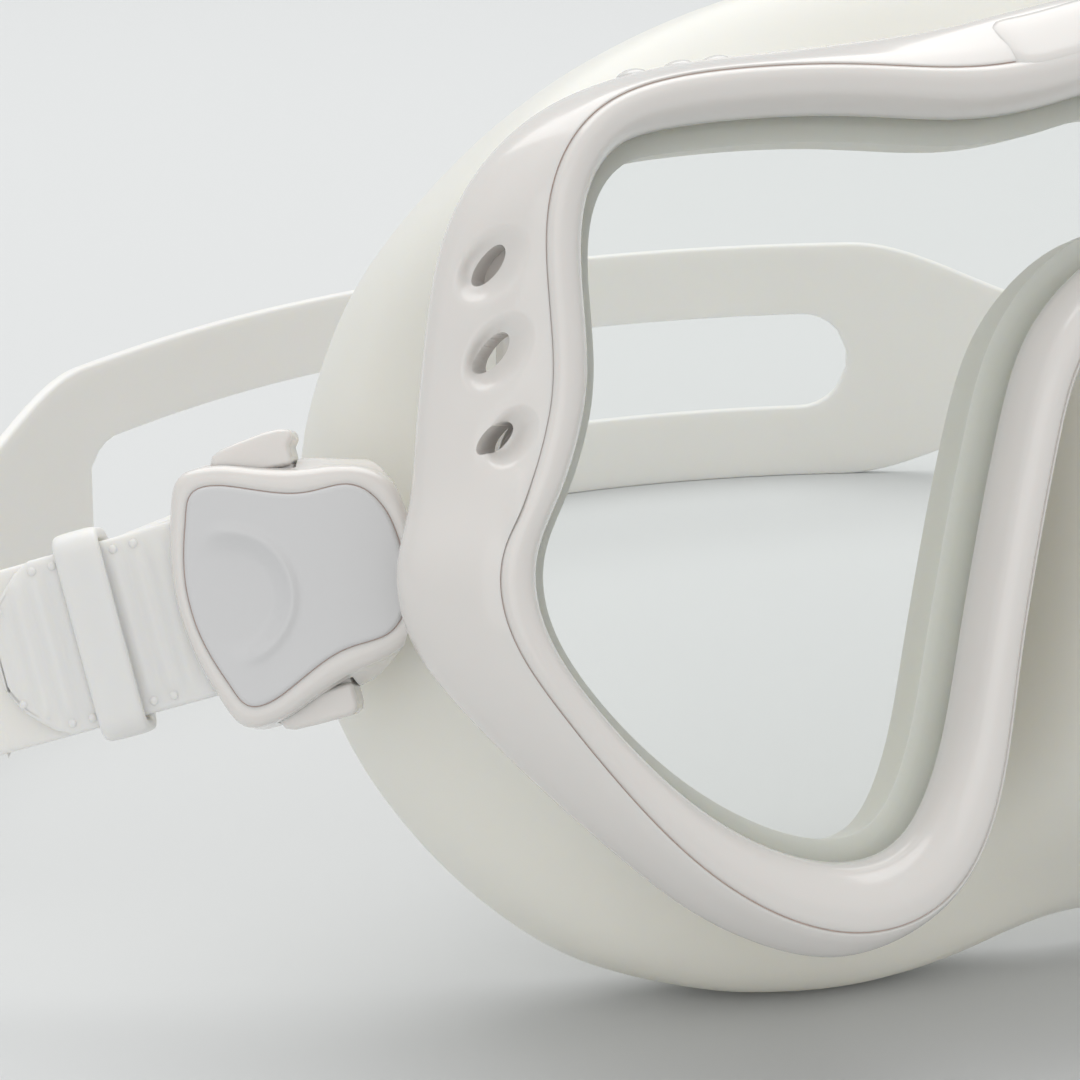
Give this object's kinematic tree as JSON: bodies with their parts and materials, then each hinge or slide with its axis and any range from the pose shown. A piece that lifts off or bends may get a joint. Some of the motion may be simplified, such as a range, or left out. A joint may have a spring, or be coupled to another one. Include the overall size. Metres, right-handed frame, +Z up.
{
  "type": "diving mask",
  "caption": "Single-window diving mask with a tempered lens, rigid frame and bezel, silicone skirt with nose pocket, and a split strap on swivelling quick-release buckles.",
  "frame": {"origin": "on the resting surface, under the middle of the whole mask and strap as it lies", "axes": "+X toward the wearer's right as seen from the front, along the line of the buckle pivots, +Y from the lens back toward the rear of the strap, +Z up from the surface"},
  "size_m": [0.2988, 0.2446, 0.1118],
  "materials": {
    "lens": "clear tempered glass with a faint green edge",
    "shell": "glossy warm white",
    "skirt": "satin translucent silicone",
    "pin": "turned stainless steel",
    "spring": "stainless leaf",
    "cover": "smooth cool light grey",
    "roller": "smooth acetal",
    "strap": "satin silicone"
  },
  "bodies": {
    "mask": {"lens": "lens", "frame": "shell", "bezel": "shell", "skirt": "skirt", "brow_clip": "shell", "pivot_pin_left": "pin", "pivot_pin_right": "pin"},
    "headband": {"buckle_housing_left": "shell", "buckle_housing_right": "shell", "buckle_cover_left": "cover", "buckle_cover_right": "cover", "tab_springs_left": "spring", "tab_springs_right": "spring", "strap": "strap"},
    "roller_left": {"strap_roller_left": "roller"},
    "tab_left_upper": {"release_tab_left_upper": "shell"},
    "tab_left_lower": {"release_tab_left_lower": "shell"},
    "keeper_left": {"strap_keeper_left": "strap"},
    "roller_right": {"strap_roller_right": "roller"},
    "tab_right_upper": {"release_tab_right_upper": "shell"},
    "tab_right_lower": {"release_tab_right_lower": "shell"},
    "keeper_right": {"strap_keeper_right": "strap"}
  },
  "joints": [
    {"name": "strap_tilt", "type": "hinge", "parent": "mask", "child": "headband", "pos_m": [-0.0038, -0.08356, 0.05546], "axis": [1, 0, 0], "range_deg": [-60, 80]},
    {"name": "roller_spin_left", "type": "hinge", "parent": "headband", "child": "roller_left", "pos_m": [-0.10005, -0.07771, 0.05077], "axis": [-0.1413, 0.3674, 0.9193], "continuous": true},
    {"name": "tab_squeeze_left_upper", "type": "slide", "parent": "headband", "child": "tab_left_upper", "axis": [0.1413, -0.3674, -0.9193], "range_m": [0, 0.0015], "stiffness_N_per_m": 800, "deforming": ["tab_springs_left"]},
    {"name": "tab_squeeze_left_lower", "type": "slide", "parent": "headband", "child": "tab_left_lower", "axis": [-0.1413, 0.3674, 0.9193], "range_m": [0, 0.0015], "stiffness_N_per_m": 800, "deforming": ["tab_springs_left"]},
    {"name": "keeper_slide_left", "type": "slide", "parent": "headband", "child": "keeper_left", "axis": [-0.8974, 0.3445, -0.2756], "range_m": [-0.004, 0.004]},
    {"name": "roller_spin_right", "type": "hinge", "parent": "headband", "child": "roller_right", "pos_m": [0.09246, -0.07771, 0.05077], "axis": [0.1413, 0.3674, 0.9193], "continuous": true},
    {"name": "tab_squeeze_right_upper", "type": "slide", "parent": "headband", "child": "tab_right_upper", "axis": [-0.1413, -0.3674, -0.9193], "range_m": [0, 0.0015], "stiffness_N_per_m": 800, "deforming": ["tab_springs_right"]},
    {"name": "tab_squeeze_right_lower", "type": "slide", "parent": "headband", "child": "tab_right_lower", "axis": [0.1413, 0.3674, 0.9193], "range_m": [0, 0.0015], "stiffness_N_per_m": 800, "deforming": ["tab_springs_right"]},
    {"name": "keeper_slide_right", "type": "slide", "parent": "headband", "child": "keeper_right", "axis": [0.8974, 0.3445, -0.2756], "range_m": [-0.004, 0.004]}
  ]
}
